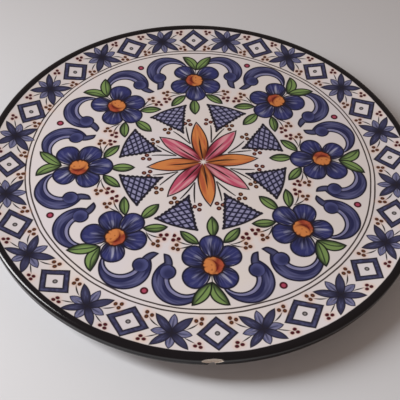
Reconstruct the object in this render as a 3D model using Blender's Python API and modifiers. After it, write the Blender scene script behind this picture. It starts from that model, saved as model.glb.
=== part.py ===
"""Ceramic wall plate: one glazed earthenware body lying on its foot ring, face up.

Metres, +Z up. The origin is on the table, under the plate's centre. -Y is the side with the chipped edge.
"""

import math

import bpy
from mathutils import Vector, noise

# Driving dimensions
PLATE_RADIUS = 0.150
PLATE_HEIGHT = 0.024
SEGMENTS = 128  # facets round the plate

# The face, as shares of the plate's radius: a shallow well, then a border that climbs to the rim
WELL_DROP = 0.028  # the centre lies this far under the rim's widest circle
WELL_RADIUS = 0.78
WELL_RISE = 0.009  # how much the well climbs from its centre to WELL_RADIUS
BORDER_START = 0.80
BORDER_RISE = 0.0209  # what the border adds on top, from BORDER_START to FACE_EDGE
BORDER_CURVE = 1.65
FACE_EDGE = 0.965

# The rolled rim, as shares of the plate's radius
ROLL_TOP = 0.980  # radius of the rim's highest circle
ROLL_RISE = 0.012  # that circle's height over the widest one
LIP_START = 0.968  # the side curls under to this radius
LIP_DROP = 0.055  # how far the lip reaches under the widest circle

# The back
WALL_AT_FOOT = 0.0080
WALL_AT_RIM = 0.0092
FOOT_OUTER = 0.090  # radii of the foot ring's flat underside
FOOT_INNER = 0.085
FOOT_CHAMFER = 0.0008
FOOT_FLARE_OUT = 0.0045  # how far the ring widens where it meets the body
FOOT_FLARE_IN = 0.0040

# Two holes through the foot ring take the hanging wire
WIRE_HOLE_RADIUS = 0.0018
WIRE_HOLE_HEIGHT = 0.0050
WIRE_HOLE_TURN = math.radians(22)  # each side of +Y
WIRE_HOLE_SIDES = 12

# The chip in the edge: a shallow flake off the rim's outer side, and a notch from there down through the lip
CHIP_TURN = math.radians(175)  # clockwise from +Y, seen from above
CHIP_ROUGHNESS = 0.12
FLAKE_HALVES = (0.0066, 0.0012, 0.0021)  # half sizes along the rim, into it and upright
FLAKE_DROP = 0.00025  # the flake's middle under the widest circle
NOTCH_HALVES = (0.0025, 0.0015, 0.0045)
NOTCH_DROP = 0.0057
NOTCH_INSET = 0.0012  # the notch's middle inside the widest circle
NOTCH_LEAN = math.radians(22)  # it follows the lip, which curls inwards

WIDEST_Z = PLATE_HEIGHT - ROLL_RISE * PLATE_RADIUS


def face_height(share):
    """The face's height at this share of the radius: a cubic bowl, plus the border's own climb."""
    height = -WELL_DROP + WELL_RISE * (share / WELL_RADIUS) ** 3
    climb = max(share - BORDER_START, 0) / (FACE_EDGE - BORDER_START)
    return WIDEST_Z + PLATE_RADIUS * (height + BORDER_RISE * climb**BORDER_CURVE)


def back_height(radius):
    """The underside's height: the face less a wall that thins towards the rim."""
    share = radius / PLATE_RADIUS
    out = min(max((radius - FOOT_OUTER) / (LIP_START * PLATE_RADIUS - FOOT_OUTER), 0), 1)
    wall = WALL_AT_FOOT + (WALL_AT_RIM - WALL_AT_FOOT) * out
    return face_height(share) - wall


def face_points():
    """From the centre out to where the rim's roll begins."""
    shares = [0, 0.14, 0.30, 0.45, 0.60, 0.70, WELL_RADIUS, BORDER_START, 0.84, 0.88, 0.92, 0.945, FACE_EDGE]
    return [(share * PLATE_RADIUS, face_height(share)) for share in shares]


def roll_points():
    """Over the rolled edge: a quarter ellipse down to the widest circle, then a squarer one to the lip."""
    points = []
    for step in range(1, 5):
        turn = math.radians(90 - 22.5 * step)
        share = ROLL_TOP + (1 - ROLL_TOP) * math.cos(turn)
        points.append((share * PLATE_RADIUS, WIDEST_Z + ROLL_RISE * PLATE_RADIUS * math.sin(turn)))
    crown = (ROLL_TOP * PLATE_RADIUS, PLATE_HEIGHT)
    points.insert(0, crown)
    for drop in (0.35, 0.65, 0.85, 0.96):
        share = LIP_START + (1 - LIP_START) * (1 - drop**3) ** (1 / 3)
        points.append((share * PLATE_RADIUS, WIDEST_Z - drop * LIP_DROP * PLATE_RADIUS))
    return points


def back_points():
    """Under the border to the foot ring, round the ring, and along the recess to the centre."""
    outer_root = FOOT_OUTER + FOOT_FLARE_OUT
    inner_root = FOOT_INNER - FOOT_FLARE_IN
    shares = (LIP_START, 0.93, 0.87, 0.80, 0.70)
    points = [(share * PLATE_RADIUS, back_height(share * PLATE_RADIUS)) for share in shares]
    points += [
        (outer_root, back_height(outer_root)),
        (FOOT_OUTER + FOOT_CHAMFER, 0.0035),
        (FOOT_OUTER + FOOT_CHAMFER, FOOT_CHAMFER),
        (FOOT_OUTER, 0),
        (FOOT_INNER, 0),
        (FOOT_INNER - FOOT_CHAMFER, FOOT_CHAMFER),
        (FOOT_INNER - FOOT_CHAMFER, 0.0035),
        (inner_root, back_height(inner_root)),
    ]
    points += [(radius, back_height(radius)) for radius in (0.055, 0.025, 0)]
    return points


def clear_scene():
    for thing in list(bpy.data.objects):
        bpy.data.objects.remove(thing, do_unlink=True)


def new_collection(name):
    collection = bpy.data.collections.new(name)
    bpy.context.scene.collection.children.link(collection)
    return collection


def glaze_material():
    material = bpy.data.materials.new("glazed_earthenware")
    material.use_nodes = True
    surface = material.node_tree.nodes["Principled BSDF"]
    surface.inputs["Base Color"].default_value = (0.68, 0.64, 0.62, 1)
    surface.inputs["Roughness"].default_value = 0.18
    surface.inputs["Metallic"].default_value = 0
    return material


def turned_body(name, collection):
    """The plate's profile, swept once round the Z axis."""
    profile = face_points() + roll_points() + back_points()
    mesh = bpy.data.meshes.new(name)
    edges = [(place, place + 1) for place in range(len(profile) - 1)]
    mesh.from_pydata([(radius, 0, height) for radius, height in profile], edges, [])
    body = bpy.data.objects.new(name, mesh)
    collection.objects.link(body)
    screw = body.modifiers.new("turn", "SCREW")
    screw.axis = "Z"
    screw.steps = SEGMENTS
    screw.render_steps = SEGMENTS
    screw.use_merge_vertices = True
    screw.merge_threshold = 0.00005
    screw.use_smooth_shade = True
    return body


def as_cutter(cutter, collection):
    cutter.hide_render = True
    cutter.display_type = "WIRE"
    for home in list(cutter.users_collection):
        home.objects.unlink(cutter)
    collection.objects.link(cutter)


def cut(body, cutter):
    boolean = body.modifiers.new(cutter.name, "BOOLEAN")
    boolean.operation = "DIFFERENCE"
    boolean.solver = "EXACT"
    boolean.object = cutter


def wire_hole_cutter(side, collection):
    """A thin radial rod through the foot ring, on one side of +Y."""
    turn = side * WIRE_HOLE_TURN
    outward = Vector((math.sin(turn), math.cos(turn), 0))
    middle = (FOOT_INNER + FOOT_OUTER) / 2
    bpy.ops.mesh.primitive_cylinder_add(
        vertices=WIRE_HOLE_SIDES,
        radius=WIRE_HOLE_RADIUS,
        depth=0.030,
        location=outward * middle + Vector((0, 0, WIRE_HOLE_HEIGHT)),
        rotation=outward.to_track_quat("Z", "Y").to_euler(),
    )
    cutter = bpy.context.object
    cutter.name = "wire_hole_left" if side < 0 else "wire_hole_right"
    as_cutter(cutter, collection)
    return cutter


def chip_cutter(name, halves, drop, inset, lean, collection):
    """A rough lens at the rim's edge, its lower end leaning inwards."""
    bpy.ops.mesh.primitive_ico_sphere_add(subdivisions=3, radius=1)
    cutter = bpy.context.object
    cutter.name = name
    for vertex in cutter.data.vertices:
        wander = noise.noise(vertex.co * 1.7 + Vector((3.1, 7.4, 6.0)))
        vertex.co = (1 + CHIP_ROUGHNESS * wander) * vertex.co * Vector(halves)
    outward = Vector((math.sin(CHIP_TURN), math.cos(CHIP_TURN), 0))
    cutter.location = outward * (PLATE_RADIUS - inset) + Vector((0, 0, WIDEST_Z - drop))
    cutter.rotation_euler = (-lean, 0, -CHIP_TURN)
    as_cutter(cutter, collection)
    return cutter


def build():
    clear_scene()
    parts = new_collection("ceramic_wall_plate")
    cutters = new_collection("cutters")
    plate = turned_body("plate", parts)
    plate.data.materials.append(glaze_material())
    for side in (-1, 1):
        cut(plate, wire_hole_cutter(side, cutters))
    cut(plate, chip_cutter("chip_flake", FLAKE_HALVES, FLAKE_DROP, 0, 0, cutters))
    cut(plate, chip_cutter("chip_notch", NOTCH_HALVES, NOTCH_DROP, NOTCH_INSET, NOTCH_LEAN, cutters))


build()
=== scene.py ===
import bpy
import math
import numpy as np
from mathutils import Matrix, Vector


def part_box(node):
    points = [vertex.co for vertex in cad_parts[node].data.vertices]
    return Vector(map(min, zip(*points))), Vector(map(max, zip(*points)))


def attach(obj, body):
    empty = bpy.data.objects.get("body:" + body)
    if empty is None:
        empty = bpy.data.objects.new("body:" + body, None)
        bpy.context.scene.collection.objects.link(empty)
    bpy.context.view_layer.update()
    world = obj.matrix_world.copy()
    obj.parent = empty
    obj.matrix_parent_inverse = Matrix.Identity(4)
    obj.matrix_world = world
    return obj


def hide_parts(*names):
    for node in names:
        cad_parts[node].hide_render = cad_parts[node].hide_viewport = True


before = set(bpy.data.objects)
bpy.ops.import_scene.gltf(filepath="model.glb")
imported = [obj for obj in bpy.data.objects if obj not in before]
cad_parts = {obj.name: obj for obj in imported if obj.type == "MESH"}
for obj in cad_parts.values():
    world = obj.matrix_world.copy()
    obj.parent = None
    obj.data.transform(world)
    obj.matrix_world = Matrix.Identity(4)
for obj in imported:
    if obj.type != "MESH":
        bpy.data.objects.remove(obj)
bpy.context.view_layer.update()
plateLow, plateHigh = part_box("plate")
plateRadius = (plateHigh.x - plateLow.x) / 2
print("frame loaded, plate radius", round(plateRadius, 4))


stage = {
    "cameraAway": (0.0, -1.993, 2.156),  # from the middle of the rim's widest circle, in plate radii
    "cameraTurn": (51.06, -0.07, -4.16),  # degrees: down, right, and rolled
    "lens": 57.2,
    "floorSize": 6.0,
    "floorColour": (211, 213, 217),
    "skyColour": (242, 219, 205),
    "skyStrength": 0.325,
    "lampPlace": (-0.84, -0.06, 0.67),
    "lampTarget": (-0.1, -0.2, 0.0),
    "lampSpread": 100,  # degrees
    "lampSize": (0.25, 0.8),  # a tall window
    "lampPower": 3.98,
}


def linear(colour):
    # screen values 0 to 255 into the linear values that shaders take
    share = np.array(colour, float) / 255
    value = np.where(share <= 0.04045, share / 12.92, ((share + 0.055) / 1.055) ** 2.4)
    return (*value.tolist(), 1.0)


def addToScene(name, data):
    thing = bpy.data.objects.new(name, data)
    bpy.context.scene.collection.objects.link(thing)
    return thing


def placeCamera(rimMiddle):
    down, right, roll = (math.radians(angle) for angle in stage["cameraTurn"])
    forward = Vector((math.sin(right) * math.cos(down), math.cos(right) * math.cos(down), -math.sin(down)))
    side = Vector((math.cos(right), -math.sin(right), 0))
    below = forward.cross(side)
    across = math.cos(roll) * side + math.sin(roll) * below
    upward = math.sin(roll) * side - math.cos(roll) * below
    lens = bpy.data.cameras.new("studioCamera")
    lens.lens = stage["lens"]
    camera = addToScene("studioCamera", lens)
    turned = Matrix((across, upward, -forward)).transposed().to_4x4()
    place = rimMiddle + Vector(stage["cameraAway"]) * plateRadius
    camera.matrix_world = Matrix.Translation(place) @ turned
    bpy.context.scene.camera = camera


def addWindowLight():
    lamp = bpy.data.lights.new("windowLight", "AREA")
    lamp.shape = "ELLIPSE"
    lamp.size, lamp.size_y = stage["lampSize"]
    lamp.energy = stage["lampPower"]
    lamp.spread = math.radians(stage["lampSpread"])
    light = addToScene("windowLight", lamp)
    light.location = stage["lampPlace"]
    aim = Vector(stage["lampTarget"]) - Vector(stage["lampPlace"])
    light.rotation_euler = aim.to_track_quat("-Z", "Y").to_euler()


def makeFloor():
    half = stage["floorSize"] / 2
    mesh = bpy.data.meshes.new("floor")
    corners = [(-half, -half, 0), (half, -half, 0), (half, half, 0), (-half, half, 0)]
    mesh.from_pydata(corners, [], [(0, 1, 2, 3)])
    floor = addToScene("floor", mesh)
    material = bpy.data.materials.new("paleFloor")
    material.use_nodes = True
    surface = material.node_tree.nodes["Principled BSDF"]
    surface.inputs["Base Color"].default_value = linear(stage["floorColour"])
    surface.inputs["Roughness"].default_value = 0.7
    mesh.materials.append(material)


def lightStudio():
    world = bpy.data.worlds.new("softSky")
    world.use_nodes = True
    sky = world.node_tree.nodes["Background"]
    sky.inputs["Color"].default_value = linear(stage["skyColour"])
    sky.inputs["Strength"].default_value = stage["skyStrength"]
    bpy.context.scene.world = world
    bpy.context.scene.view_settings.view_transform = "Standard"
    addWindowLight()


class Reading:
    # one output socket; sums with it lay Math nodes
    def __init__(self, socket):
        self.socket = socket

    def __add__(self, other):
        return calc("ADD", self, other)

    def __sub__(self, other):
        return calc("SUBTRACT", self, other)

    def __rsub__(self, other):
        return calc("SUBTRACT", other, self)

    def __mul__(self, other):
        return calc("MULTIPLY", self, other)

    def __truediv__(self, other):
        return calc("DIVIDE", self, other)

    __radd__ = __add__
    __rmul__ = __mul__


def wire(node, values):
    # links each reading to the named input, and sets plain values on theirs
    for slot, value in values.items():
        if isinstance(value, Reading):
            node.id_data.links.new(value.socket, node.inputs[slot])
        else:
            node.inputs[slot].default_value = value


def lay(kind, values, output=0, **settings):
    # adds one node beside the readings it takes and wires it
    tree = next(value.socket.id_data for value in values.values() if isinstance(value, Reading))
    node = tree.nodes.new(kind)
    for name, setting in settings.items():
        setattr(node, name, setting)
    wire(node, values)
    count = len(tree.nodes)
    node.location = (190 * (count // 14), -200 * (count % 14))
    return Reading(node.outputs[output])


def calc(operation, *values, clamp=False):
    return lay("ShaderNodeMath", dict(enumerate(values)), operation=operation, use_clamp=clamp)


def scaled(value, factor, added, clamp=False):
    return calc("MULTIPLY_ADD", value, factor, added, clamp=clamp)


def vectorCalc(operation, *values, output=0):
    return lay("ShaderNodeVectorMath", dict(enumerate(values)), output, operation=operation)


def lengthOf(vector):
    return vectorCalc("LENGTH", vector, output=1)


def smaller(first, second):
    return calc("MINIMUM", first, second)


def larger(first, second):
    return calc("MAXIMUM", first, second)


def size(value):
    return calc("ABSOLUTE", value)


def pairUp(x, y):
    return lay("ShaderNodeCombineXYZ", {0: x, 1: y})


def partsOf(point):
    node = lay("ShaderNodeSeparateXYZ", {0: point}).socket.node
    return Reading(node.outputs[0]), Reading(node.outputs[1])


def mirrored(point):
    # x and y, and the point folded over the y axis
    x, y = partsOf(point)
    return x, y, pairUp(size(x), y)


def isOdd(index):
    return calc("FLOORED_MODULO", index, 2.0)


def awayFrom(point, centre):
    return vectorCalc("DISTANCE", point, (*centre, 0), output=1)


def roundSpot(point, spot):
    # distance to a disc, given as its middle and its radius
    return awayFrom(point, spot[:2]) - spot[2]


def alongLine(point, start, direction):
    # how far the point lies from the start, measured along a direction of length one
    reach = start[0] * direction[0] + start[1] * direction[1]
    return vectorCalc("DOT_PRODUCT", point, (*direction, 0), output=1) - reach


def shifted(spot, way, far=1):
    return spot[0] + way[0] * far, spot[1] + way[1] * far


def gap(start, end):
    return end[0] - start[0], end[1] - start[1]


def unit(x, y):
    length = math.hypot(x, y)
    return x / length, y / length


# brushwork: distances are in plate radii, below zero inside a shape
brush = {
    "edge": 0.0028,  # how softly a painted edge ends
    "unevenLine": 0.003,  # how much an outline's width varies
    "wander": 0.011,  # how far the hand strays
    "wanderScale": 4.2,
}
inkColours = {
    "ground": (216, 211, 215),
    "creamGround": (219, 212, 209),
    "navy": (27, 27, 49),
    "cobalt": (50, 54, 107),
    "deepCobalt": (37, 40, 80),
    "bulb": (74, 78, 125),
    "lightCobalt": (103, 106, 150),
    "lavender": (146, 145, 177),
    "pale": (190, 192, 210),
    "slate": (59, 60, 90),
    "deepSlate": (36, 37, 60),
    "lightSlate": (84, 89, 128),
    "greyPetal": (126, 126, 156),
    "darkLine": (32, 30, 42),
    "leaf": (119, 146, 87),
    "deepLeaf": (50, 64, 44),
    "leafLine": (26, 32, 27),
    "orange": (205, 129, 73),
    "redOrange": (170, 80, 56),
    "crimson": (100, 18, 22),
    "pink": (186, 80, 108),
    "palePink": (214, 154, 163),
    "berryRed": (68, 14, 25),
    "berryBrown": (66, 31, 18),
    "stalk": (34, 30, 30),
    "petalLine": (46, 24, 25),
    "ringLine": (44, 32, 28),
    "rim": (17, 15, 20),
    "glow": (224, 164, 124),
    "rust": (104, 46, 24),
    "footClay": (196, 178, 156),
    "clay": (222, 212, 200),
    "paleClay": (240, 234, 226),
}


def cover(distance, soft=None):
    # 1 inside a shape and 0 outside it, with a soft edge
    return scaled(distance, -1 / (soft or brush["edge"]), 0.5, clamp=True)


def band(value, start, end):
    # climbs from 0 at start to 1 at end
    return scaled(value, 1 / (end - start), -start / (end - start), clamp=True)


def blend(under, over, mask):
    # lays one colour over another, each a socket or the name of an ink
    under, over = (linear(inkColours[ink]) if isinstance(ink, str) else ink for ink in (under, over))
    return lay("ShaderNodeMix", {0: mask, 6: under, 7: over}, 2, data_type="RGBA")


def fillIn(under, over, distance, soft=None):
    return blend(under, over, cover(distance, soft))


def arc(point, start, end, bulge):
    # distance to a circle through start and end that bulges to the left of that way by bulge
    span = math.hypot(*gap(start, end))
    way = unit(*gap(start, end))
    radius = (span**2 / 4 + bulge**2) / (2 * abs(bulge))
    back = bulge - math.copysign(radius, bulge)
    middle = ((start[0] + end[0]) / 2, (start[1] + end[1]) / 2)
    away = awayFrom(point, shifted(middle, (-way[1], way[0]), back))
    return away - radius if bulge > 0 else radius - away


def lens(point, start, end, left, right):
    # a leaf shape between two arcs: its distance, and the distance to each of its sides
    leftSide = arc(point, start, end, left)
    rightSide = arc(point, end, start, right)
    return larger(leftSide, rightSide), leftSide, rightSide


def strokeOf(point, start, end, bend, width):
    # a thin brush line that ends in points, bent to the left by bend
    return lens(point, start, end, bend + width, width - bend)[0]


def taper(point, start, end, startRadius, endRadius):
    # distance to a round brush stroke whose radius changes evenly from start to end
    way = gap(start, end)
    square = way[0] ** 2 + way[1] ** 2
    offset = vectorCalc("SUBTRACT", point, (*start, 0))
    share = vectorCalc("DOT_PRODUCT", offset, (way[0] / square, way[1] / square, 0), output=1)
    share = calc("MULTIPLY", share, 1.0, clamp=True)
    nearest = vectorCalc("MULTIPLY", pairUp(share, share), (*way, 0))
    radius = scaled(share, endRadius - startRadius, startRadius)
    return vectorCalc("DISTANCE", offset, nearest, output=1) - radius


def noiseOver(point, scale, detail=0.0, colour=False):
    values = {"Vector": point, "Scale": scale, "Detail": detail}
    return lay("ShaderNodeTexNoise", values, 1 if colour else 0)


def upTo(height):
    return lay("ShaderNodeCombineXYZ", {2: height})


def streaked(point, *scales):
    # noise drawn out where a scale is low
    return noiseOver(vectorCalc("MULTIPLY", point, (*scales, 0.0)), 1.0, 1.0)


def raysFrom(point, centre, turns, lengthwise):
    # noise over the way from the centre and the reach: rays where lengthwise is low, arcs where it is high
    offset = vectorCalc("SUBTRACT", point, (*centre, 0))
    reach = lengthOf(offset)
    way = vectorCalc("NORMALIZE", offset)
    return noiseOver(vectorCalc("ADD", way, upTo(reach * lengthwise)), turns, 1.0)


def newGroup(name, inputs, outputs):
    kinds = {"vector": "NodeSocketVector", "colour": "NodeSocketColor", "number": "NodeSocketFloat"}
    tree = bpy.data.node_groups.new(name, "ShaderNodeTree")
    for direction, sockets in (("INPUT", inputs), ("OUTPUT", outputs)):
        for label, kind in sockets.items():
            tree.interface.new_socket(label, in_out=direction, socket_type=kinds[kind])
    source = tree.nodes.new("NodeGroupInput")
    return tree, [Reading(source.outputs[label]) for label in inputs]


def closeGroup(tree, results):
    wire(tree.nodes.new("NodeGroupOutput"), results)
    return tree


def place(group, values):
    # lays a group and gives its outputs by name
    node = lay("ShaderNodeGroup", values, node_tree=group).socket.node
    return {output.name: Reading(output) for output in node.outputs}


paintInputs = {"Point": "vector", "Wash": "number", "Under": "colour"}
countedInputs = {**paintInputs, "Index": "number"}


def paintGroup(name, brushwork, inputs):
    # a node group that paints one motif over the colour it is given
    tree, values = newGroup(name, inputs, {"Colour": "colour"})
    return closeGroup(tree, {"Colour": brushwork(*values)})


# how far the drawing drifts along the rim and outward, in thousandths of the radius, at eight places
# clockwise from near the top
drift = {
    "start": -7.85,
    "inner": ((2, -4), (2, 1), (4, -12), (5, -5), (9, 0), (-5, 5), (-13, -3), (-7, -18)),
    "border": ((3, 1), (11, 4), (6, 3), (-7, 4), (3, 6), (-10, 15), (-15, 1), (-2, 1)),
    "fullFrom": 0.6,  # towards the middle the drift fades
    "borderFrom": (0.775, 0.8),
    "span": 40,
}


def driftAt(placeRound, shifts):
    # a colour ramp round the plate, its red the drift along the rim and its green the drift outward
    shades = lay("ShaderNodeValToRGB", {0: placeRound})
    ramp = shades.socket.node.color_ramp
    ramp.interpolation = "CARDINAL"
    for index in range(1, len(shifts)):
        ramp.elements.new(index / len(shifts))
    for element, (along, outward) in zip(ramp.elements, (*shifts, shifts[0])):
        redGreen = (0.5 + shift / 2 / drift["span"] for shift in (along, outward))
        element.color = (*redGreen, 0.5, 1.0)
    return shades


def handDrawnGroup():
    # the point in plate radii as the hand strays, with the drift and without it, and the colour's wash
    outputs = {"Point": "vector", "Steady": "vector", "Wash": "number"}
    tree, (position,) = newGroup("handDrawn", {"Position": "vector"}, outputs)
    share = 1 / plateRadius
    flat = vectorCalc("MULTIPLY", position, (share, share, 0))
    stray = noiseOver(flat, brush["wanderScale"], 3.0, colour=True)
    centred = vectorCalc("SUBTRACT", stray, (0.5, 0.5, 0.5))
    wander = (brush["wander"], brush["wander"], 0)
    steady = vectorCalc("MULTIPLY_ADD", centred, wander, flat)
    reach = lengthOf(flat)
    acrossPart, upPart = partsOf(vectorCalc("NORMALIZE", flat))
    turned = calc("ARCTAN2", acrossPart, upPart) - math.radians(drift["start"])
    placeRound = calc("FRACT", turned / (2 * math.pi))
    inner = driftAt(placeRound, drift["inner"])
    outer = driftAt(placeRound, drift["border"])
    shades = blend(inner, outer, band(reach, *drift["borderFrom"]))
    fade = calc("MULTIPLY", reach, 1 / drift["fullFrom"], clamp=True) * (drift["span"] * 2 / 1000)
    along, outward = partsOf(vectorCalc("SUBTRACT", shades, (0.5, 0.5, 0.5)))
    shiftX = (along * upPart + outward * acrossPart) * fade
    shiftY = (outward * upPart - along * acrossPart) * fade
    point = vectorCalc("SUBTRACT", steady, pairUp(shiftX, shiftY))
    wash = noiseOver(flat, 11.0, 3.0)
    return closeGroup(tree, {"Point": point, "Steady": steady, "Wash": wash})


def sectorGroup():
    # the point in the frame of its sector: x along the rim clockwise, y outward from the plate's middle
    inputs = {"Point": "vector", "Sectors": "number", "Turn": "number"}
    tree, (point, sectors, turn) = newGroup("sector", inputs, {"Local": "vector", "Index": "number"})
    reach = lengthOf(point)
    x, y = partsOf(point)
    steps = (calc("ARCTAN2", x, y) - turn) * sectors / (2 * math.pi)
    nearest = calc("ROUND", steps)
    angle = (steps - nearest) * (2 * math.pi) / sectors
    local = pairUp(reach * calc("SINE", angle), reach * calc("COSINE", angle))
    index = calc("FLOORED_MODULO", nearest, sectors)
    return closeGroup(tree, {"Local": local, "Index": index})


rings = {"middle": (-0.007, 0.002), "radii": (0.781, 0.8), "width": 0.0034, "uneven": 0.0014}


def brushRings(point, wash, under):
    away = awayFrom(point, rings["middle"])
    inner = size(away - rings["radii"][0])
    outer = size(away - rings["radii"][1])
    width = wash * rings["uneven"] + (rings["width"] - rings["uneven"] / 2)
    return blend(under, "ringLine", cover(smaller(inner, outer) - width, 0.002) * 0.95)


# scrolls, one to each side of a flower
scroll = {
    "outline": 0.006,
    "join": 0.01,  # how softly its parts run together
    "streaks": (0.95, 68),  # noise scales along and over the arm
    "lean": 0.016,  # the left one stands a little higher
    "outer": (0.142, 0.646, 0.111),
    "hole": (0.108, 0.634, 0.0695),
    "bulb": (0.1843, 0.598, 0.036),
    "core": (0.18, 0.606),  # the dark middle of the bulb
    "end": ((0.184, 0.598), (0.03, 0.69)),  # the arm runs out along this line
    "fold": (0.113, 0.635, 0.089),  # the dark line between the pale and the deep part
    "tail": ((0.194, 0.62), (0.202, 0.49), 0.001, 0.036),
    "tailEnd": (0.198, 0.5055, -0.33),  # the tail is cut blunt here, on a line with this slope
}


def brushScrolls(point, wash, under):
    x, y = partsOf(point)
    folded = pairUp(size(x), scaled(x, scroll["lean"], y))
    outer = roundSpot(folded, scroll["outer"])
    hole = roundSpot(folded, scroll["hole"])
    start, finish = scroll["end"]
    way = unit(*gap(start, finish))
    belowEnd = alongLine(folded, start, (-way[1], way[0]))
    beforeBulb = scroll["bulb"][0] - partsOf(folded)[0]
    body = larger(larger(outer, hole * -1), smaller(belowEnd, beforeBulb))
    bulb = roundSpot(folded, scroll["bulb"])
    cutX, cutY, slope = scroll["tailEnd"]
    beyond = alongLine(folded, (cutX, cutY), unit(slope, -1.0))
    tail = calc("SMOOTH_MAX", lens(folded, *scroll["tail"])[0], beyond, scroll["join"])
    shape = smaller(calc("SMOOTH_MIN", body, bulb, scroll["join"]), tail)
    colour = fillIn(under, "navy", shape)
    fold = roundSpot(folded, scroll["fold"])
    streaks = raysFrom(folded, scroll["fold"][:2], *scroll["streaks"])
    deep = blend("deepCobalt", "lightCobalt", band(streaks, 0.38, 0.58))
    edge = band(smaller(fold, outer * -1), 0.0, 0.022)
    deep = blend("deepCobalt", deep, edge)
    paleTone = band(streaks + wash * 0.4, 0.45, 0.9)
    paleColour = blend("lightCobalt", "lavender", paleTone)
    fill = fillIn(deep, paleColour, fold + 0.004)
    foldLine = cover(size(fold + 0.001) - 0.0016, 0.004)
    fill = blend(fill, "navy", foldLine * 0.85)
    ring = cover(bulb) * scaled(band(beforeBulb, -0.02, 0.01), 0.5, 0.4)
    fill = blend(fill, "navy", ring)
    core = awayFrom(folded, scroll["core"]) + wash * 0.01
    bulbColour = blend("bulb", "deepCobalt", band(core, 0.038, 0.02) * 0.8)
    fill = fillIn(fill, bulbColour, bulb + 0.0045)
    tailColour = blend("slate", "lightSlate", band(tail + wash * 0.012, 0.0, -0.014) * 0.7)
    fill = blend(fill, tailColour, cover(tail + 0.004) * cover(0.0 - bulb))
    inside = shape + (wash * brush["unevenLine"] + scroll["outline"])
    return fillIn(colour, fill, inside)


flower = {
    "outline": 0.0056,
    "disc": (0.0075, 0.5715, 0.0475),
    "petals": (
        (-0.0465, 0.064, 0.053, 0.022),
        (0.079, 0.0505, 0.056, 0.006),
        (-0.0705, -0.041, 0.0545, -0.008),
        (0.075, -0.0485, 0.0555, -0.008),
        (-0.0015, -0.1015, 0.0535, 0.024),
    ),  # from the disc to a petal's middle, its radius, and how far past its middle the gleam reaches
    "gleam": (-0.036, 0.012, 0.004),  # where it starts, and its radius at both ends
    "taper": 0.08,
    "inward": 0.8,  # how much a petal's inner half is drawn out towards the disc
    "streaks": (5.5, 2.4),  # noise scales round the disc and outward
    "fineStreaks": (9.5, 1.2),
    "discLine": 0.005,
    "ragged": 0.01,  # how much the disc's edge strays
    "shadow": (-0.022, -0.026, 0.008),  # low on the disc
    "crescent": ((-0.005, 0.032), (0.001, -0.026), -0.01, 0.019),
    "leaves": (
        ((0.019, 0.65), (-0.039, 0.7625), 0.011, 0.0445, True),
        ((0.0235, 0.65), (0.1125, 0.7545), 0.031, 0.0245, False),
        ((-0.045, 0.463), (-0.1245, 0.387), 0.02, 0.0275, False),
        ((0.056, 0.463), (0.1355, 0.387), 0.026, 0.0205, True),
        ((-0.006, 0.432), (-0.01, 0.318), 0.0262, 0.0262, False),
    ),  # base, tip, how far each side bows out, and whether the left side is the dark one
    "stem": ((0.02, 0.618), (0.0215, 0.656), 0.0022, 0.0022),
    "berryAxis": 0.0067,
    "berryLean": 0.042,  # the left berries hang higher
    "brownBerries": ((0.1435, 0.488), (0.1635, 0.4815), (0.1475, 0.465)),
    "redBerries": ((0.161, 0.4385), (0.137, 0.434), (0.155, 0.4155)),
    "berryRadius": 0.0096,
    "stalks": (
        ((0.072, 0.461), (0.146, 0.484), 0.006, 0.0034),
        ((0.08, 0.466), (0.16, 0.428), 0.01, 0.0034),
    ),
}


def brushLeaf(under, point, wash, start, end, left, right, darkLeft):
    shape, leftSide, rightSide = lens(point, start, end, left, right)
    colour = fillIn(under, "leafLine", shape - 0.001)
    dark, light = (leftSide, rightSide) if darkLeft else (rightSide, leftSide)
    lit = band(dark + wash * 0.014, 0.0, -0.013) * band(light, 0.0, -0.009)
    green = blend("deepLeaf", "leaf", lit)
    vein = cover(size(leftSide - rightSide) - 0.006, 0.006) * cover(shape + 0.01, 0.012)
    green = blend(green, "deepLeaf", vein)
    return fillIn(colour, green, shape + 0.006)


def nearestOf(point, spots):
    # distance to the nearest of a few spots
    nearest = awayFrom(point, spots[0])
    for spot in spots[1:]:
        nearest = smaller(nearest, awayFrom(point, spot))
    return nearest


def brushSprays(under, point, piece):
    # two stalks, then the brown and the red berries, each with a glow round it and a warm seed
    lines = smaller(*(strokeOf(point, *line) for line in piece["stalks"]))
    colour = fillIn(under, "stalk", lines)
    radius = piece["berryRadius"]
    kinds = (("brownBerries", "berryBrown", "orange"), ("redBerries", "berryRed", "crimson"))
    for spots, ink, seed in kinds:
        away = nearestOf(point, piece[spots])
        colour = blend(colour, "glow", cover(away - radius * 1.6, radius * 2.2) * 0.35)
        colour = fillIn(colour, ink, away - radius, 0.004)
        colour = blend(colour, seed, cover(away - radius * 0.35, 0.005) * 0.2)
    return colour


def brushLeaves(point, wash, colour):
    x, y = partsOf(point)
    side = x - flower["berryAxis"]
    folded = pairUp(size(side), scaled(side, flower["berryLean"], y))
    colour = brushSprays(colour, folded, flower)
    for leaf in flower["leaves"]:
        colour = brushLeaf(colour, point, wash, *leaf)
    return fillIn(colour, "leafLine", taper(point, *flower["stem"]))


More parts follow.
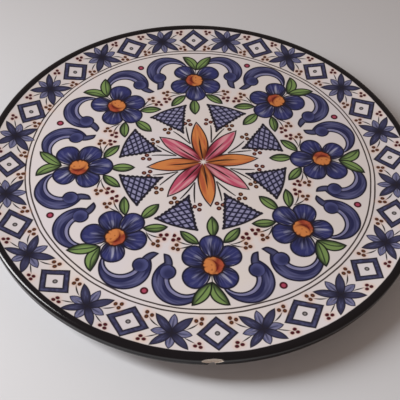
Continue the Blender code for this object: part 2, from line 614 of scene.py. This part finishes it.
def brushPetal(under, point, wash, streaks, fine, petal):
    *offset, radius, gleam = petal
    centre = shifted(flower["disc"], offset)
    outward = unit(*offset)
    reach = alongLine(point, centre, outward)
    breadth = alongLine(point, centre, (outward[1], -outward[0]))
    breadth = breadth / scaled(reach, flower["taper"] / radius, 1.0)
    drawn = larger(reach, reach * flower["inward"])
    shape = calc("SQRT", scaled(breadth, breadth, drawn * drawn)) - radius
    colour = fillIn(under, "navy", shape)
    sliver = cover(size(shape + 0.007) - wash * 0.004) * band(reach, 0.000, -0.02)
    tone = band(shape, 0.0, -0.026) + (streaks - 0.5) * 2.0
    blue = blend("deepCobalt", "cobalt", band(tone, 0.1, 0.75))
    blue = blend(blue, "lightCobalt", band(fine, 0.5, 0.64) * band(shape, -0.004, -0.018) * 0.5)
    start, *radii = flower["gleam"]
    ends = (shifted(centre, outward, far) for far in (start, gleam))
    glow = cover(taper(point, *ends, *radii), 0.022)
    blue = blend(blue, "lightCobalt", glow * band(streaks, 0.42, 0.58))
    blue = blend(blue, "pale", glow * band(fine, 0.46, 0.6) * 0.75)
    blue = blend(blue, "ground", sliver * 0.7)
    inner = band(reach, 0.012, -0.034)
    blue = blend(blue, "deepCobalt", inner * band(streaks, 0.74, 0.52) * 0.95)
    blue = blend(blue, "navy", inner * band(fine + streaks * 0.5, 0.84, 0.64))
    inside = shape + (wash * brush["unevenLine"] + flower["outline"])
    return fillIn(colour, blue, inside)


def brushFlower(point, wash, colour):
    disc = flower["disc"]
    streaks = raysFrom(point, disc[:2], *flower["streaks"])
    fine = raysFrom(point, disc[:2], *flower["fineStreaks"])
    for petal in flower["petals"]:
        colour = brushPetal(colour, point, wash, streaks, fine, petal)
    rough = noiseOver(point, 55.0, 1.0)
    local = vectorCalc("SUBTRACT", point, (*disc[:2], 0))
    stray = (wash + rough - 0.5) * flower["ragged"]
    edge = lengthOf(local) - (disc[2] + flower["discLine"]) + stray
    colour = blend(colour, "darkLine", cover(edge - 0.005, 0.012) * 0.7)
    colour = fillIn(colour, "petalLine", edge - 0.002, 0.004)
    warm = blend("orange", "redOrange", band(partsOf(local)[0] + wash * 0.01, -0.004, -0.014))
    crescent = lens(local, *flower["crescent"])[0]
    warm = blend(warm, "crimson", cover(crescent - 0.005, 0.012) * 0.6)
    warm = fillIn(warm, "crimson", crescent, 0.005)
    warm = blend(warm, "rust", band(rough, 0.56, 0.72) * 0.6)
    warm = blend(warm, "crimson", cover(roundSpot(local, flower["shadow"]), 0.022) * 0.7)
    return fillIn(colour, warm, edge + 0.006, 0.004)


# lattice cones between the flowers, and the dots over them
cone = {
    "corner": (0.095, 0.378),
    "apex": (0.0, 0.211),
    "topRadius": 0.3945,
    "cell": (0.043, 0.03),
    "tip": ((0.0, 0.232), (0.0, 0.211), 0.0115, 0.0045),
    "scallop": (0.021, 0.0048),  # their spacing and depth
    "knob": 0.006,
    "border": 0.01,
    "line": 0.004,
    "dot": (0.0115, 0.735, 0.017),
    "dotLine": 0.0082,
}


def brushCones(point, wash, under):
    x, y, folded = mirrored(point)
    apex, corner = cone["apex"], cone["corner"]
    way = unit(*gap(apex, corner))
    run = alongLine(folded, apex, way)
    sideLine = alongLine(folded, apex, (way[1], -way[0]))
    top = lengthOf(point) - cone["topRadius"]
    spacing, depth = cone["scallop"]
    bumps = size(calc("SINE", run * (math.pi / spacing))) * band(run, 0.01, 0.04)
    sideEdge = scaled(bumps, -depth, sideLine + 0.0015)
    shape = larger(sideEdge, top)
    knob = awayFrom(folded, corner) - cone["knob"]
    shape = calc("SMOOTH_MIN", shape, knob, 0.008)
    shape = smaller(shape, taper(folded, *cone["tip"]))
    colour = fillIn(under, "darkLine", shape - 0.001)
    across = x / cone["cell"][0]
    upward = y / cone["cell"][1]
    first = calc("PINGPONG", upward + across, 0.5)
    second = calc("PINGPONG", upward - across, 0.5)
    mesh = smaller(first, second)
    pitch = cone["cell"][0] * math.sin(math.atan2(cone["cell"][1], cone["cell"][0]))
    cells = blend("lightCobalt", "lavender", band(mesh + wash * 0.3, 0.2, 0.5))
    cells = blend(cells, "navy", cover(mesh - cone["line"] / pitch, 0.12) * 0.95)
    inside = larger(sideLine + cone["border"], top + 0.009)
    colour = fillIn(colour, cells, inside)
    dot = roundSpot(point, cone["dot"])
    colour = fillIn(colour, "berryRed", dot)
    return blend(colour, "pink", cover(dot + cone["dotLine"], 0.004) * 0.75)


rosette = {
    "petal": (-0.012, 0.265, 0.0395),  # from, to, and half its width
    "fillEnd": 0.257,
    "vein": ((0.0, 0.01), (0.0, 0.168), 0.0015, 0.0042),
    "stalk": ((0.042, 0.09), (0.06, 0.268), -0.007, 0.0041),
    "stalkSpan": (0.18, 0.058),
    "berries": ((0.0443, 0.278), (0.0633, 0.2595), (0.0386, 0.25)),
    "berryRadius": 0.0112,
    "heart": 0.0105,
    "heartRay": 0.011,
    "streaks": (46.0, 6.0),  # noise scales over and along a petal
    "outline": (0.005, 0.003),  # and what the base adds
}


def brushStems(point, wash, under, index):
    y, folded = mirrored(point)[1:]
    middle, half = rosette["stalkSpan"]
    line = larger(strokeOf(folded, *rosette["stalk"]), size(y - middle) - half)
    colour = fillIn(under, "stalk", line)
    away = nearestOf(folded, rosette["berries"])
    berry = blend("berryRed", "berryBrown", isOdd(index))
    colour = fillIn(colour, berry, away - rosette["berryRadius"])
    seed = blend(berry, "glow", 0.3)
    return fillIn(colour, seed, away - rosette["berryRadius"] * 0.38, 0.004)


def brushRosette(point, wash, colour, index):
    x, y, folded = mirrored(point)
    odd = isOdd(index)
    start, finish, half = rosette["petal"]
    shape = arc(folded, (0.0, finish), (0.0, start), half)
    reach = lengthOf(point)
    colour = blend(colour, "crimson", cover(reach - 0.06, 0.024) * 0.9)
    colour = fillIn(colour, "petalLine", shape - 0.0018)
    stretched = vectorCalc("MULTIPLY_ADD", point, (*rosette["streaks"], 0.0), upTo(index * 3.7))
    streaks = noiseOver(stretched, 1.0, 1.0)
    bright = blend("orange", "pink", odd)
    soft = blend("redOrange", "palePink", odd)
    fill = blend(bright, soft, band(streaks, 0.46, 0.64) * 0.85)
    shade = blend("rust", "crimson", odd)
    veins = band(streaks, 0.5, 0.4) * band(y, 0.15, 0.085)
    fill = blend(fill, shade, veins * 0.75)
    fill = blend(fill, shade, band(y + streaks * 0.06, 0.12, 0.04) * 0.6)
    beside = band(size(x) - y * 0.2, 0.002, 0.01) * band(y, 0.115, 0.06)
    fill = blend(fill, "crimson", beside * 0.8)
    fill = fillIn(fill, "petalLine", strokeOf(point, *rosette["vein"]))
    filled = arc(folded, (0.0, rosette["fillEnd"]), (0.0, start), half + 0.006)
    fill = fillIn("ground", fill, filled + 0.003, 0.004)
    line, atBase = rosette["outline"]
    colour = fillIn(colour, fill, shape + (band(y, 0.15, 0.05) * atBase + line))
    ray = band(size(x) / (reach + 0.001), 0.16, 0.0) * rosette["heartRay"]
    heart = reach - ray + (wash - 0.5) * 0.008 - rosette["heart"]
    return fillIn(colour, "creamGround", heart, 0.01)


# the border: diamonds, narrow and wide, and stars in turn
border = {
    "middle": 0.879,
    "tall": 0.078,
    "wide": (0.081, 0.089),
    "outline": 0.0056,
    "opening": 0.0437,
    "eye": (-0.002, 0.8785, 0.0106),
    "eyeLine": 0.0061,
    "starMiddle": 0.886,
    "above": 1.1,  # a star is drawn out to these shares above and below its middle
    "below": 0.92,
    "longPetal": (0.105, 0.019),
    "shortPetal": (0.081, 0.0185),
    "vein": ((0.02, 0.0), (0.056, 0.0), 0.003, 0.0004),
    "redBerries": ((0.096, 0.05), (0.1175, 0.053), (0.1105, 0.0358)),
    "brownBerries": ((0.086, -0.062), (0.1065, -0.054), (0.107, -0.073)),
    "berryRadius": 0.0086,
    "stalks": (
        ((0.046, 0.014), (0.096, 0.038), 0.001, 0.003),
        ((0.05, -0.02), (0.096, -0.054), 0.004, 0.003),
    ),
}


def brushDiamonds(point, wash, under, index):
    x, y = partsOf(point)
    tall = border["tall"]
    narrow, wide = (tall / half for half in border["wide"])
    slope = scaled(isOdd(index), wide - narrow, narrow)
    upward = size(y - border["middle"])
    spread = size(x) * slope + upward
    shape = (spread - tall) * 0.72
    hole = (spread - border["opening"]) * 0.72
    colour = fillIn(under, "darkLine", shape)
    middle = band(size(spread - (tall + border["opening"]) / 2), 0.014, 0.0)
    streaks = noiseOver(point, 45.0, 1.0)
    blue = blend("deepSlate", "slate", middle + (wash - 0.5))
    blue = blend(blue, "lightSlate", middle * band(streaks, 0.46, 0.7) * 0.8)
    colour = fillIn(colour, blue, shape + border["outline"], 0.004)
    colour = fillIn(colour, "darkLine", hole - 0.0042)
    colour = fillIn(colour, "ground", hole + 0.0005)
    eye = roundSpot(point, border["eye"])
    colour = blend(colour, "stalk", cover(eye) * 0.95)
    return blend(colour, "ground", cover(eye + border["eyeLine"], 0.004) * 0.35)


def brushStars(point, wash, under):
    x, y = partsOf(point)
    sideways = size(x)
    upright = y - border["starMiddle"]
    upright = larger(upright * border["above"], upright * border["below"])
    folded = pairUp(sideways, upright)
    colour = brushSprays(under, folded, border)
    updown = size(upright)
    away = lengthOf(folded)
    reach, half = border["shortPetal"]
    along = larger(sideways, updown)
    low = smaller(sideways, updown)
    petal = pairUp(along, low)
    shape = arc(petal, (0.004, 0.0), (reach, 0.0), half)
    streaks = streaked(pairUp(along + x, low), 16.0, 130.0)
    colour = fillIn(colour, "deepSlate", shape)
    lavender = blend("lightSlate", "greyPetal", band(streaks, 0.35, 0.6))
    colour = fillIn(colour, lavender, shape + 0.0042)
    vein = cover(taper(petal, *border["vein"]), 0.005)
    colour = blend(colour, "darkLine", vein * 0.85)
    reach, half = border["longPetal"]
    diagonal = (sideways + updown) * math.sqrt(0.5)
    breadth = size(sideways - updown) * math.sqrt(0.5)
    shape = arc(pairUp(diagonal, breadth), (-0.01, 0.0), (reach, 0.0), half)
    colour = fillIn(colour, "darkLine", shape)
    tone = band(shape, 0.0, -0.014) * band(away, 0.018, 0.045)
    blue = blend("deepSlate", "slate", tone)
    streaks = streaked(pairUp(diagonal + x, breadth), 16.0, 130.0)
    blue = blend(blue, "lightSlate", tone * band(streaks, 0.48, 0.64) * 0.7)
    colour = fillIn(colour, blue, shape + 0.004)
    return blend(colour, "darkLine", cover(away - 0.012, 0.02) * 0.9)


glaze = {
    "rimMiddle": (0.0, -0.0055),
    "rimStart": 0.9625,
    "roughness": 0.13,
    "shine": 0.28,  # of the face; the rim shines more, and hardly under its widest circle
    "rimShine": 0.34,
    "lipShine": 0.04,
    "shineClimb": 0.002,  # metres
    "ripple": 0.00012,  # metres
    "rippleScales": (38.0, 420.0),
    "wiped": 0.0011,  # the foot is bare up to here, in metres
}


def rimGroup():
    inputs = {**paintInputs, "Height": "number"}
    tree, (point, wash, under, height) = newGroup("rimBand", inputs, {"Colour": "colour", "Shine": "number"})
    reach = awayFrom(point, glaze["rimMiddle"])
    edge = glaze["rimStart"] - reach + (wash - 0.5) * 0.004
    inside = cover(edge, 0.003)
    colour = blend(under, "rim", inside)
    upper = band(height, widestHeight - glaze["shineClimb"], widestHeight)
    rimShine = scaled(upper, glaze["rimShine"] - glaze["lipShine"], glaze["lipShine"])
    shine = scaled(inside, rimShine - glaze["shine"], glaze["shine"])
    return closeGroup(tree, {"Colour": colour, "Shine": shine})


def rippleGroup():
    # the slow ripple of a fired glaze: a bump height in metres, and its roughness
    outputs = {"Height": "number", "Roughness": "number"}
    tree, (position,) = newGroup("glazeRipple", {"Position": "vector"}, outputs)
    slow = noiseOver(position, glaze["rippleScales"][0], 1.0)
    fine = noiseOver(position, glaze["rippleScales"][1], 0.0)
    height = scaled(fine, 0.03, slow) * glaze["ripple"]
    roughness = scaled(slow, 0.1, glaze["roughness"] - 0.05)
    return closeGroup(tree, {"Height": height, "Roughness": roughness})


def newMaterial(name):
    material = bpy.data.materials.new(name)
    material.use_nodes = True
    nodes = material.node_tree.nodes
    return material, nodes["Principled BSDF"], Reading(nodes.new("ShaderNodeTexCoord").outputs[3])


def finishGlaze(surface, position, colour, shine, ripple):
    relief = place(ripple, {"Position": position})
    bump = lay("ShaderNodeBump", {"Height": relief["Height"], "Distance": 1.0, "Strength": 1.0})
    wire(surface, {"Base Color": colour, "Roughness": relief["Roughness"], "Normal": bump})
    wire(surface, {"Metallic": 0.0, "IOR": 1.5, "Specular IOR Level": shine})


def paleGround(position):
    return blend("ground", "creamGround", band(noiseOver(position, 30.0, 2.0), 0.35, 0.7))


def heightOf(position):
    return lay("ShaderNodeSeparateXYZ", {0: position}, 2)


def blackRim(groups, position, drawn, colour):
    values = {"Point": drawn["Steady"], "Wash": drawn["Wash"], "Under": colour, "Height": heightOf(position)}
    return place(groups["rimBand"], values)


# in the order of painting: the brushwork, its inputs, how many go round, and degrees clockwise to the first
motifs = {
    "diamonds": (brushDiamonds, countedInputs, 16, -6.7),
    "stars": (brushStars, paintInputs, 16, -6.7 + 11.25),
    "stems": (brushStems, countedInputs, 8, -9.2),
    "cones": (brushCones, paintInputs, 8, 14.25),
    "scrolls": (brushScrolls, paintInputs, 8, -7.4),
    "leaves": (brushLeaves, paintInputs, 8, -8.8),
    "flower": (brushFlower, paintInputs, 8, -8.8),
    "rosette": (brushRosette, countedInputs, 8, -11.2),
}


def paintedGlaze(groups):
    material, surface, position = newMaterial("paintedGlaze")
    drawn = place(groups["handDrawn"], {"Position": position})
    values = {"Point": drawn["Steady"], "Wash": drawn["Wash"], "Under": paleGround(position)}
    colour = place(groups["ringLines"], values)["Colour"]
    for name, (_, inputs, count, turn) in motifs.items():
        values = {"Point": drawn["Point"], "Sectors": count, "Turn": math.radians(turn)}
        sector = place(groups["sector"], values)
        values = {"Point": sector["Local"], "Wash": drawn["Wash"], "Under": colour}
        if "Index" in inputs:
            values["Index"] = sector["Index"]
        colour = place(groups[name], values)["Colour"]
    finished = blackRim(groups, position, drawn, colour)
    finishGlaze(surface, position, finished["Colour"], finished["Shine"], groups["glazeRipple"])
    return material


def backGlaze(groups):
    # plain and pale, with the rim's black lip, and the foot wiped bare
    material, surface, position = newMaterial("backGlaze")
    drawn = place(groups["handDrawn"], {"Position": position})
    finished = blackRim(groups, position, drawn, paleGround(position))
    bare = cover(heightOf(position) - glaze["wiped"] + (drawn["Wash"] - 0.5) * 0.0012, 0.0004)
    colour = blend(finished["Colour"], "footClay", bare)
    finishGlaze(surface, position, colour, finished["Shine"], groups["glazeRipple"])
    return material


def bareClay():
    material, surface, position = newMaterial("bareClay")
    grain = noiseOver(position, 900.0, 3.0)
    patches = noiseOver(position, 160.0, 1.0)
    colour = blend("clay", "paleClay", band(patches * 0.6 + grain * 0.4, 0.38, 0.62))
    bump = lay("ShaderNodeBump", {"Height": grain, "Distance": 0.0004, "Strength": 0.8})
    wire(surface, {"Base Color": colour, "Roughness": 0.85, "Normal": bump})
    return material


plateShape = {
    "wellDrop": 0.028,  # shares of the plate's radius from here
    "wellRadius": 0.78,
    "wellRise": 0.009,
    "borderStart": 0.8,
    "borderRise": 0.0209,
    "borderCurve": 1.65,
    "faceEdge": 0.965,
    "rollTop": 0.98,
    "rollRise": 0.012,
    "lipStart": 0.968,
    "lipDrop": 0.055,
    "wallAtFoot": 0.008,  # metres from here
    "wallAtRim": 0.0092,
    "footOuter": 0.09,
    "footInner": 0.085,
    "footRound": 0.0008,
    "footWaist": 0.0035,
    "flareOut": 0.0045,
    "flareIn": 0.004,
    "columns": 384,
}
widestHeight = plateHigh.z - plateShape["rollRise"] * plateRadius


def faceHeight(share):
    # a cubic bowl, plus the border's own climb
    s = plateShape
    height = s["wellRise"] * (share / s["wellRadius"]) ** 3 - s["wellDrop"]
    climb = np.clip((share - s["borderStart"]) / (s["faceEdge"] - s["borderStart"]), 0, None)
    return widestHeight + plateRadius * (height + s["borderRise"] * climb ** s["borderCurve"])


def backHeight(radius):
    # the face less a wall that thins towards the rim
    s = plateShape
    out = np.clip((radius - s["footOuter"]) / (s["lipStart"] * plateRadius - s["footOuter"]), 0, 1)
    return faceHeight(radius / plateRadius) - (s["wallAtFoot"] + (s["wallAtRim"] - s["wallAtFoot"]) * out)


def bend(start, pull, end, count):
    # a quadratic curve from start to end, drawn towards pull, without its first point
    t = np.linspace(0, 1, count + 1)[1:, None]
    return (1 - t) ** 2 * np.array(start) + 2 * t * (1 - t) * np.array(pull) + t**2 * np.array(end)


def plateProfile():
    # radius and height along the section, from the face's middle round the rim to the back's middle
    s = plateShape
    well = np.linspace(0, s["borderStart"], 40)
    climb = np.linspace(s["borderStart"], s["faceEdge"], 26)[1:]
    share = np.concatenate([well, climb])
    face = np.stack([share * plateRadius, faceHeight(share)], 1)
    t = np.linspace(0, 1, 7)[1:]
    crownStart, crownHeight = face[-1]
    # the crown is a cubic that leaves along the face and ends level
    slope = (face[-1, 1] - face[-2, 1]) / (face[-1, 0] - face[-2, 0])
    run = s["rollTop"] * plateRadius - crownStart
    rise = plateHigh.z - crownHeight
    crown = np.stack([
        crownStart + run * t,
        crownHeight + slope * run * (t**3 - 2 * t**2 + t) + rise * (3 * t**2 - 2 * t**3),
    ], 1)
    turn = np.linspace(math.pi / 2, 0, 13)[1:]  # a quarter ellipse, down to the widest circle
    roll = np.stack([
        (s["rollTop"] + (1 - s["rollTop"]) * np.cos(turn)) * plateRadius,
        widestHeight + s["rollRise"] * plateRadius * np.sin(turn),
    ], 1)
    drop = np.sin(np.linspace(0, math.pi / 2, 18)[1:])  # a squarer one, of the third power, to the lip
    side = np.stack([
        (s["lipStart"] + (1 - s["lipStart"]) * (1 - drop**3) ** (1 / 3)) * plateRadius,
        widestHeight - drop * s["lipDrop"] * plateRadius,
    ], 1)
    outerRoot = s["footOuter"] + s["flareOut"]
    innerRoot = s["footInner"] - s["flareIn"]
    outerWall = s["footOuter"] + s["footRound"]
    innerWall = s["footInner"] - s["footRound"]
    under = np.linspace(s["lipStart"] * plateRadius - 0.0008, outerRoot, 22)
    under = np.stack([under, backHeight(under)], 1)
    waist, small = s["footWaist"], s["footRound"]
    foot = np.concatenate([
        bend(under[-1], (outerWall + 0.0007, under[-1, 1] - 0.0004), (outerWall, waist), 7),
        [(outerWall, small)],
        bend((outerWall, small), (outerWall, 0), (s["footOuter"], 0), 4),
        [((s["footOuter"] + s["footInner"]) / 2, 0), (s["footInner"], 0)],
        bend((s["footInner"], 0), (innerWall, 0), (innerWall, small), 4),
        [(innerWall, waist)],
        bend((innerWall, waist), (innerWall - 0.0007, backHeight(innerRoot) - 0.0004),
             (innerRoot, backHeight(innerRoot)), 7),
    ])
    recess = np.linspace(innerRoot, 0, 22)[1:]
    recess = np.stack([recess, backHeight(recess)], 1)
    front = np.concatenate([face, crown, roll, side])
    return np.concatenate([front, under, foot, recess]), len(front)


def closedSkin(name, points, columns, ends, materials, clockwise=False):
    # faces over rings of points, the first and the last ring drawn to one point each
    count = len(points)
    index = np.arange(count).reshape(-1, columns)
    following = np.roll(index, -1, 1)
    quads = np.stack([index[:-1], index[1:], following[1:], following[:-1]], 2).reshape(-1, 4)
    first = np.stack([index[0], following[0], np.full(columns, count)], 1)
    last = np.stack([index[-1], np.full(columns, count + 1), following[-1]], 1)
    faces = first.tolist() + quads.tolist() + last.tolist()
    if clockwise:
        faces = [[face[0], *face[:0:-1]] for face in faces]
    mesh = bpy.data.meshes.new(name)
    mesh.from_pydata([*points.tolist(), *ends], [], faces)
    for material in materials:
        mesh.materials.append(material)
    return mesh


def cornersOf(mesh):
    # the point at each corner of each face
    corners = np.zeros(len(mesh.loops), np.int32)
    mesh.loops.foreach_get("vertex_index", corners)
    return corners


def unroll(mesh, uv):
    mesh.uv_layers.new(name="OFBake").data.foreach_set("uv", uv.astype(np.float32).ravel())


def turnProfile(name, profile, frontCount, columns, materials):
    # point (i, j) is radius i turned clockwise from +Y by angle j, at height i
    rows = len(profile) - 2
    angle = np.arange(columns) * 2 * math.pi / columns
    radius, height = profile[1:-1, 0, None], profile[1:-1, 1, None]
    ring = [radius * np.sin(angle), radius * np.cos(angle), np.repeat(height, columns, 1)]
    ends = [(0, 0, height) for height in profile[[0, -1], 1].tolist()]
    mesh = closedSkin(name, np.stack(ring, 2).reshape(-1, 3), columns, ends, materials, True)
    # faces past the lip take the back's glaze
    onBack = np.repeat(np.arange(rows + 1), columns) >= frontCount - 1
    mesh.polygons.foreach_set("material_index", onBack.astype(np.int32))
    rowOfPoint = np.append(np.repeat(np.arange(1, rows + 1), columns), [0, rows + 1])
    unrollOnDiscs(mesh, profile, frontCount, rowOfPoint, np.append(np.tile(angle, rows), [0, 0]), onBack)
    mesh.update()
    return mesh


discs = {"front": (0.5, 0.49), "back": (0.91, 0.086)}  # middle and radius of each in the unwrap


def unrollOnDiscs(mesh, profile, frontCount, rowOfPoint, angle, onBack):
    # two discs, each reach the length along the section
    length = np.concatenate([[0], np.cumsum(np.hypot(*np.diff(profile, axis=0).T))])
    lip = length[frontCount - 1]
    frontReach = discs["front"][1] * length[rowOfPoint] / lip
    backReach = discs["back"][1] * (length[-1] - length[rowOfPoint]) / (length[-1] - lip)
    corners = cornersOf(mesh)
    counts = np.zeros(len(mesh.polygons), np.int32)
    mesh.polygons.foreach_get("loop_total", counts)
    back = np.repeat(onBack, counts)
    reach = np.where(back, backReach[corners], frontReach[corners])
    middle = np.where(back, discs["back"][0], discs["front"][0])
    turn = angle[corners]
    unroll(mesh, np.stack([middle + reach * np.sin(turn), middle + reach * np.cos(turn)], 1))


chip = {
    "turn": 175,  # degrees clockwise from +Y
    "flake": (0.0066, 0.0012, 0.0021),  # half sizes along the rim, into it and upright
    "flakePlace": (0.0, 0.00025, 0.0),  # inside the widest circle, under it, and how far it leans inwards
    "notch": (0.0025, 0.0015, 0.0045),
    "notchPlace": (0.0012, 0.0057, 22),
    "roughness": 0.1,
}
wireHoles = {"turn": 22, "radius": 0.0018, "height": 0.005, "reach": 0.03}


def cutterMesh(name, points, columns, material, corner):
    # the cutter's skin, unwrapped on a small square from this corner
    ends = [ring.mean(0).tolist() for ring in (points[:columns], points[-columns:])]
    mesh = closedSkin(name, points, columns, ends, [material])
    points = np.concatenate([points, ends])
    low, high = points.min(0), points.max(0)
    spread = ((points - low) / (high - low))[cornersOf(mesh)]
    unroll(mesh, np.array(corner) + 0.055 * spread[:, [0, 2]])
    return addToScene(name, mesh)


def compass(degrees):
    # the ways along the rim, outward and up, this far clockwise from +Y
    angle = math.radians(degrees)
    cosine, sine = math.cos(angle), math.sin(angle)
    return np.array(((cosine, -sine, 0), (sine, cosine, 0), (0, 0, 1)))


def flakeCutter(name, halves, setting, material, corner):
    # an ellipsoid whose reach is roughened by a few sines, set on the rim's edge and leaning with the lip
    inset, drop, lean = setting
    rows, columns = 25, 40
    rise = np.linspace(-math.pi / 2 + 0.06, math.pi / 2 - 0.06, rows)[:, None]
    around = -np.arange(columns)[None, :] * 2 * math.pi / columns
    ball = np.stack([
        np.cos(rise) * np.cos(around), np.cos(rise) * np.sin(around), np.sin(rise) + 0 * around,
    ], 2).reshape(-1, 3)
    x, y, z = ball.T
    coarse = np.sin(3.1 * x + 2.0 * z + 0.7) + np.sin(4.3 * y - 2.6 * x + 1.9)
    rough = coarse + 0.6 * np.sin(9.0 * x + 7.0 * z + 4.0)
    ball = ball * (1 + chip["roughness"] * rough[:, None] / 2) * np.array(halves)
    along, outward, upright = compass(chip["turn"])
    tilt = math.radians(lean)
    deep = math.cos(tilt) * outward - math.sin(tilt) * upright
    tall = math.sin(tilt) * outward + math.cos(tilt) * upright
    middle = outward * (plateRadius - inset) + upright * (widestHeight - drop)
    points = ball[:, :1] * along + ball[:, 1:2] * deep + ball[:, 2:] * tall + middle
    return cutterMesh(name, points, columns, material, corner)


def holeCutter(name, side, material, corner):
    # a thin round rod through the foot ring, lying outward
    columns = 24
    sideways, outward, upright = compass(wireHoles["turn"] * side)
    middle = (plateShape["footInner"] + plateShape["footOuter"]) / 2
    around = np.arange(columns)[:, None] * 2 * math.pi / columns
    ring = wireHoles["radius"] * (np.cos(around) * sideways + np.sin(around) * upright)
    ends = [middle - wireHoles["reach"] / 2, middle + wireHoles["reach"] / 2]
    points = np.concatenate([ring + outward * end + upright * wireHoles["height"] for end in ends])
    return cutterMesh(name, points, columns, material, corner)


def cutAway(plate, cutters):
    for cutter in cutters:
        boolean = plate.modifiers.new(cutter.name, "BOOLEAN")
        boolean.operation = "DIFFERENCE"
        boolean.solver = "EXACT"
        boolean.material_mode = "TRANSFER"
        boolean.object = cutter
    bpy.context.view_layer.update()
    evaluated = plate.evaluated_get(bpy.context.evaluated_depsgraph_get())
    mesh = bpy.data.meshes.new_from_object(evaluated)
    plate.modifiers.clear()
    plate.data = mesh
    for cutter in cutters:
        bpy.data.objects.remove(cutter, do_unlink=True)


def makePlate():
    groups = [handDrawnGroup(), sectorGroup(), paintGroup("ringLines", brushRings, paintInputs)]
    groups += [paintGroup(name, *motif[:2]) for name, motif in motifs.items()]
    groups += [rimGroup(), rippleGroup()]
    groups = {group.name: group for group in groups}
    clay = bareClay()
    white = backGlaze(groups)
    print("painting mixed:", sum(len(group.nodes) for group in groups.values()), "nodes")
    profile, frontCount = plateProfile()
    materials = [paintedGlaze(groups), white, clay]
    mesh = turnProfile("paintedPlate", profile, frontCount, plateShape["columns"], materials)
    plate = addToScene("paintedPlate", mesh)
    cutters = [
        flakeCutter("chipFlake", chip["flake"], chip["flakePlace"], clay, (0.01, 0.01)),
        flakeCutter("chipNotch", chip["notch"], chip["notchPlace"], clay, (0.01, 0.08)),
        holeCutter("wireHoleLeft", -1, white, (0.93, 0.01)),
        holeCutter("wireHoleRight", 1, white, (0.01, 0.93)),
    ]
    cutAway(plate, cutters)
    plate.data.shade_smooth()
    plate.data.set_sharp_from_angle(angle=math.radians(42))
    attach(plate, "root")
    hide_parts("plate")
    print("plate turned:", len(plate.data.polygons), "faces")


makeFloor()
placeCamera(Vector((0, 0, widestHeight)))
lightStudio()
print("stage set")
makePlate()
